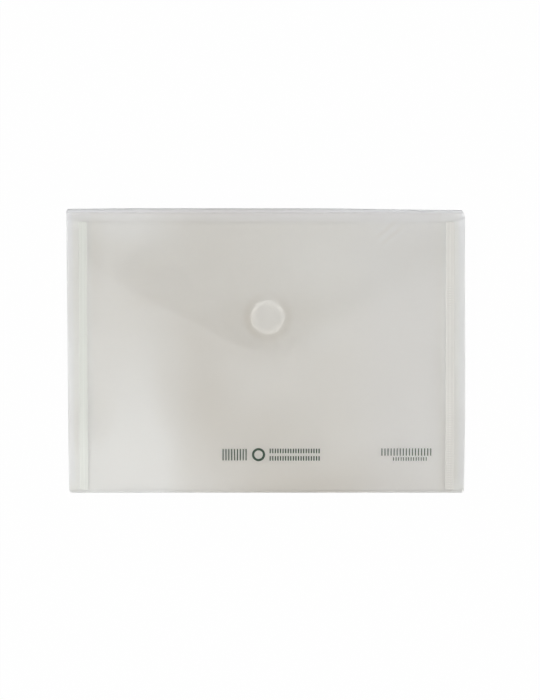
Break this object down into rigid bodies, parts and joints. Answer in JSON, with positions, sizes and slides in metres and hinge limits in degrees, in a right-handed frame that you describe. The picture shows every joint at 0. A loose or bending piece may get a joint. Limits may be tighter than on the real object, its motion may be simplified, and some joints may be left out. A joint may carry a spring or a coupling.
{
  "type": "document envelope",
  "caption": "Frosted clear film document envelope with pleated side gussets, knurled weld seams and a V flap held at the back by a hook-and-loop dot.",
  "frame": {"origin": "under the middle of the closed envelope, on the surface it lies on", "axes": "+Z out of the front panel, +X along the folds to the right seen from the front, +Y from the bottom fold to the top fold"},
  "size_m": [0.3325, 0.238, 0.0079],
  "materials": {
    "film": "frosted translucent film, fine matte grain",
    "weld": "pressed and knurled weld, milky",
    "closure_backing": "semi-clear moulded backing with a pressed rim",
    "loop_pile": "short brushed nylon loops",
    "hooks": "clear moulded hooks on a thin web"
  },
  "bodies": {
    "pocket": {"back_panel": "film", "bottom_fold": "film", "left_back_leaf": "film", "right_back_leaf": "film", "loop_disc": "closure_backing", "loop_pile": "loop_pile"},
    "front": {"front_panel": "film", "top_fold": "film", "left_front_leaf": "film", "right_front_leaf": "film", "left_weld_tab": "film", "right_weld_tab": "film", "left_weld_seam": "weld", "right_weld_seam": "weld"},
    "flap": {"flap_panel": "film", "hook_disc": "closure_backing", "hook_field": "hooks"}
  },
  "joints": [
    {"name": "mouth_open", "type": "hinge", "parent": "pocket", "child": "front", "pos_m": [0, -0.1173, 0.0017], "axis": [1, 0, 0], "range_deg": [0, 6.34], "deforming": ["bottom_fold"]},
    {"name": "flap_open", "type": "hinge", "parent": "front", "child": "flap", "pos_m": [0, 0.11517, 0.00382], "axis": [1, 0, 0], "range_deg": [0, 176], "deforming": ["top_fold"]}
  ],
  "couplings": [
    {"joint": "mouth_open", "follows": "flap_open", "ratio": 0.036}
  ]
}
